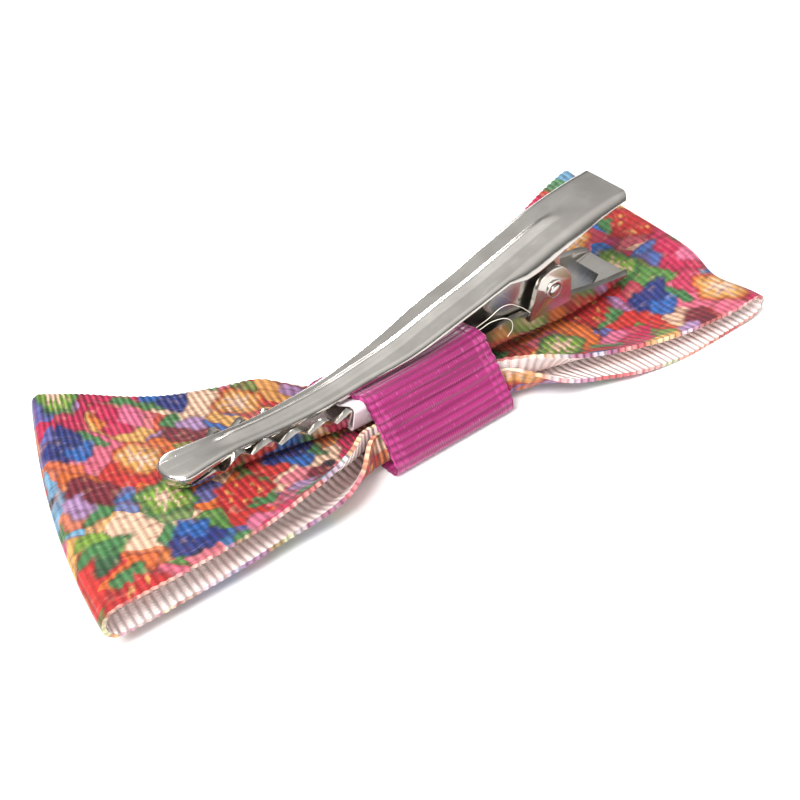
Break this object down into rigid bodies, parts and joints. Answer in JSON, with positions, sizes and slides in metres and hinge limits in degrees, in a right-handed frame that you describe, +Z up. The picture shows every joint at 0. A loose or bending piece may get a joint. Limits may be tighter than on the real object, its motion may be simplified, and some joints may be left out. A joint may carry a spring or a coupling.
{
  "type": "alligator hair clip with ribbon bow",
  "caption": "Toothed spring hair clip of plated steel, held to a flat folded bow of printed grosgrain ribbon by a ribbon centre wrap.",
  "frame": {"origin": "middle of the centre wrap's flat underside, which the clip and bow rest on", "axes": "+X from the jaw tips to the finger handles, along the bow; +Z up, from the bow's front face to the clip; -Y is the near side"},
  "size_m": [0.0625, 0.0233, 0.0117],
  "materials": {
    "plated_steel": "bright nickel plate over stamped sheet steel",
    "spring_steel": "plated spring strip",
    "white_ribbon": "smooth off-white lining ribbon",
    "magenta_ribbon": "magenta grosgrain, fine ribs",
    "printed_ribbon": "grosgrain with a bright all-over print outside and cream inside",
    "hot_melt": "cloudy hot-melt glue"
  },
  "bodies": {
    "base": {"lower_jaw": "plated_steel", "pivot_pin": "plated_steel", "leaf_spring": "spring_steel", "jaw_liner": "white_ribbon", "centre_wrap": "magenta_ribbon", "bow_ribbon": "printed_ribbon", "clip_glue": "hot_melt", "fold_glue": "hot_melt", "wrap_glue": "hot_melt"},
    "lever": {"upper_jaw": "plated_steel"}
  },
  "joints": [
    {"name": "jaw_pivot", "type": "hinge", "parent": "base", "child": "lever", "pos_m": [0.01315, 0, 0.0065], "axis": [0, 1, 0], "range_deg": [0, 30], "stiffness_Nm_per_rad": 0.006, "springref_deg": -20.05, "deforming": ["leaf_spring"]}
  ]
}
